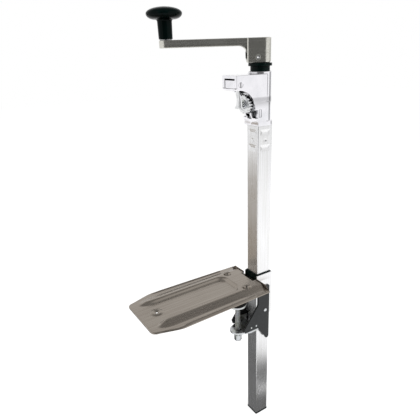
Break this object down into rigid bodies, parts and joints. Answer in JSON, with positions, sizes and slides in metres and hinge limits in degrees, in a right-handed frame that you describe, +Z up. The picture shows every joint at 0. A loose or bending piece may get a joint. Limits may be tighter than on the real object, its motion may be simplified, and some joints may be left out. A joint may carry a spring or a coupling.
{
  "type": "bench-mounted can opener",
  "caption": "Bench can opener: a square post slides in a socket on a ribbed base plate, and a crank turns a feed wheel under a curved blade; a screw clamp holds the base.",
  "frame": {"origin": "on the table top under the base plate, midway between the two back fixing holes", "axes": "+Z up along the post; -X from the post over the table, the way the nose points; Y across the plate"},
  "size_m": [0.2244, 0.1442, 0.6682],
  "materials": {
    "satin_stainless": "satin",
    "bright_stainless": "satin",
    "bright_plating": "polished",
    "cast_stainless": "satin",
    "tool_steel": "ground",
    "ground_steel": "ground",
    "zinc_plate": "zinc plated",
    "black_oxide": "black oxide",
    "black_paint": "semi-gloss",
    "bearing_bronze": "satin",
    "black_plastic": "satin",
    "knob_plastic": "gloss",
    "rubber": "matte"
  },
  "bodies": {
    "base": {"base_plate": "satin_stainless", "socket_sleeve": "bright_stainless", "upper_liner": "black_plastic", "lower_liner": "black_plastic", "friction_spring": "ground_steel", "spring_rivets": "zinc_plate", "near_cheek": "black_paint", "far_cheek": "black_paint", "cheek_rivets": "zinc_plate", "clamp_arm": "zinc_plate", "arm_screws": "zinc_plate", "clamp_nut": "zinc_plate"},
    "clamp_pad": {"clamp_pad": "zinc_plate", "pad_rubber": "rubber"},
    "clamp_screw": {"clamp_screw": "zinc_plate"},
    "post": {"post_tube": "bright_stainless", "post_end_cap": "black_plastic", "head_casting": "bright_plating", "blade_cartridge": "bright_plating", "blade": "tool_steel", "blade_screws": "black_oxide", "cartridge_screw": "bright_plating", "wheel_carrier": "ground_steel", "carrier_screw": "black_oxide", "axle_bush": "bearing_bronze", "head_bush": "black_plastic", "bush_screw": "black_oxide"},
    "wheel": {"feed_wheel": "tool_steel", "wheel_shaft": "ground_steel", "face_gear": "ground_steel", "gear_pin": "black_oxide", "wheel_screw": "zinc_plate", "wheel_washer": "zinc_plate"},
    "crank": {"crank_arm": "cast_stainless", "drive_shaft": "ground_steel", "drive_pinion": "ground_steel", "pinion_pin": "black_oxide", "thrust_washer": "bearing_bronze", "cross_pin": "zinc_plate", "knob_spindle": "ground_steel", "knob_washer": "zinc_plate"},
    "knob": {"knob": "knob_plastic", "knob_cap": "knob_plastic"}
  },
  "joints": [
    {"name": "post_slide", "type": "slide", "parent": "base", "child": "post", "axis": [0, 0, 1], "range_m": [-0.227, 0.209]},
    {"name": "crank_spin", "type": "hinge", "parent": "post", "child": "crank", "pos_m": [0.043, 0, 0.33], "axis": [0, 0, 1], "continuous": true},
    {"name": "knob_spin", "type": "hinge", "parent": "crank", "child": "knob", "pos_m": [-0.05814, 0.06822, 0.36], "axis": [0, 0, 1], "continuous": true},
    {"name": "wheel_spin", "type": "hinge", "parent": "post", "child": "wheel", "pos_m": [0.023, 0, 0.268], "axis": [1, 0, 0], "continuous": true},
    {"name": "clamp_slide", "type": "slide", "parent": "base", "child": "clamp_pad", "axis": [0, 0, 1], "range_m": [-0.025, 0]},
    {"name": "clamp_spin", "type": "hinge", "parent": "clamp_pad", "child": "clamp_screw", "pos_m": [0.001, 0, -0.06], "axis": [0, 0, 1], "range_deg": [-7205, 5]}
  ],
  "couplings": [
    {"joint": "wheel_spin", "follows": "crank_spin", "ratio": 0.66667},
    {"joint": "clamp_spin", "follows": "clamp_slide", "rad_per_m": 5026.5}
  ]
}
